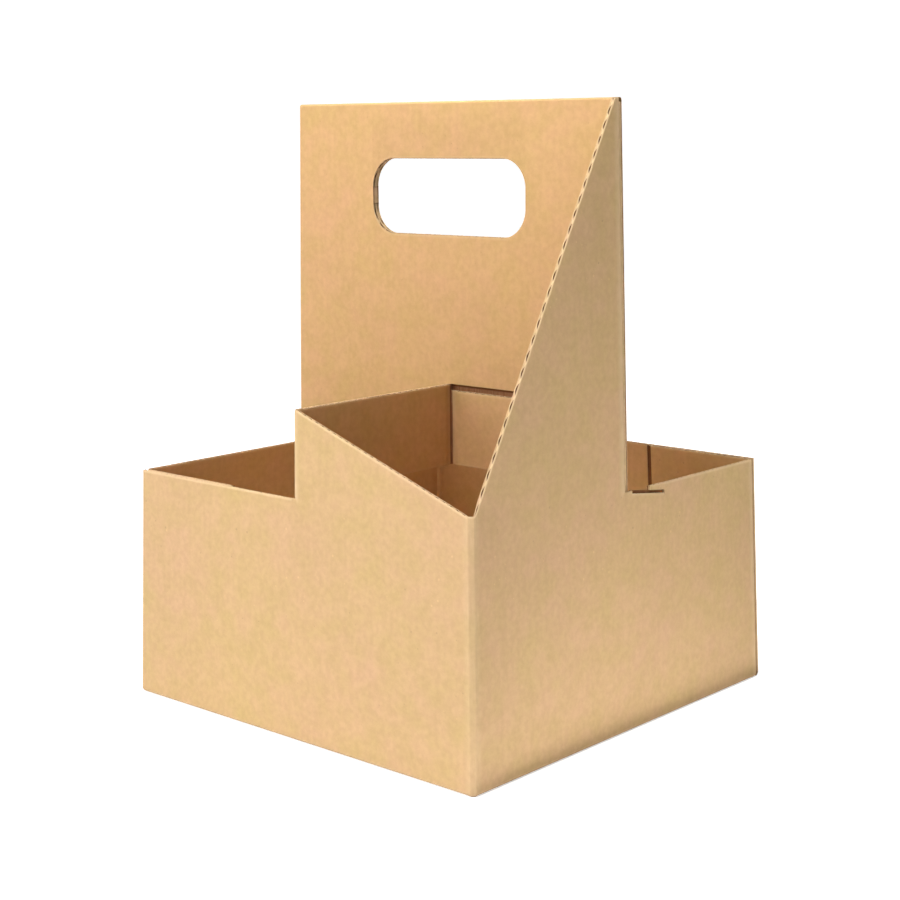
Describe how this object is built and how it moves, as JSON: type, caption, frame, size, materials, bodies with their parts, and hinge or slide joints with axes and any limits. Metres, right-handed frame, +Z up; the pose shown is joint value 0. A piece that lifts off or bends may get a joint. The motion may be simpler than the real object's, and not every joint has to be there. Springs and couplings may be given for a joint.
{
  "type": "cardboard cup carrier",
  "caption": "Kraft fluted-board drink carrier: square open box with crossing straps, slanted gussets and a tall double-layer handle panel with a rounded hand hole.",
  "frame": {"origin": "middle of the base's underside, where the carrier stands", "axes": "+Z up; the handle panel stands in the XZ plane; the front wall, low on its left half, faces -Y; the right wall with the front gusset faces +X"},
  "size_m": [0.1804, 0.1804, 0.235],
  "materials": {
    "kraft_board": "matte natural kraft liner"
  },
  "bodies": {
    "root": {"carrier": "kraft_board"}
  },
  "joints": []
}
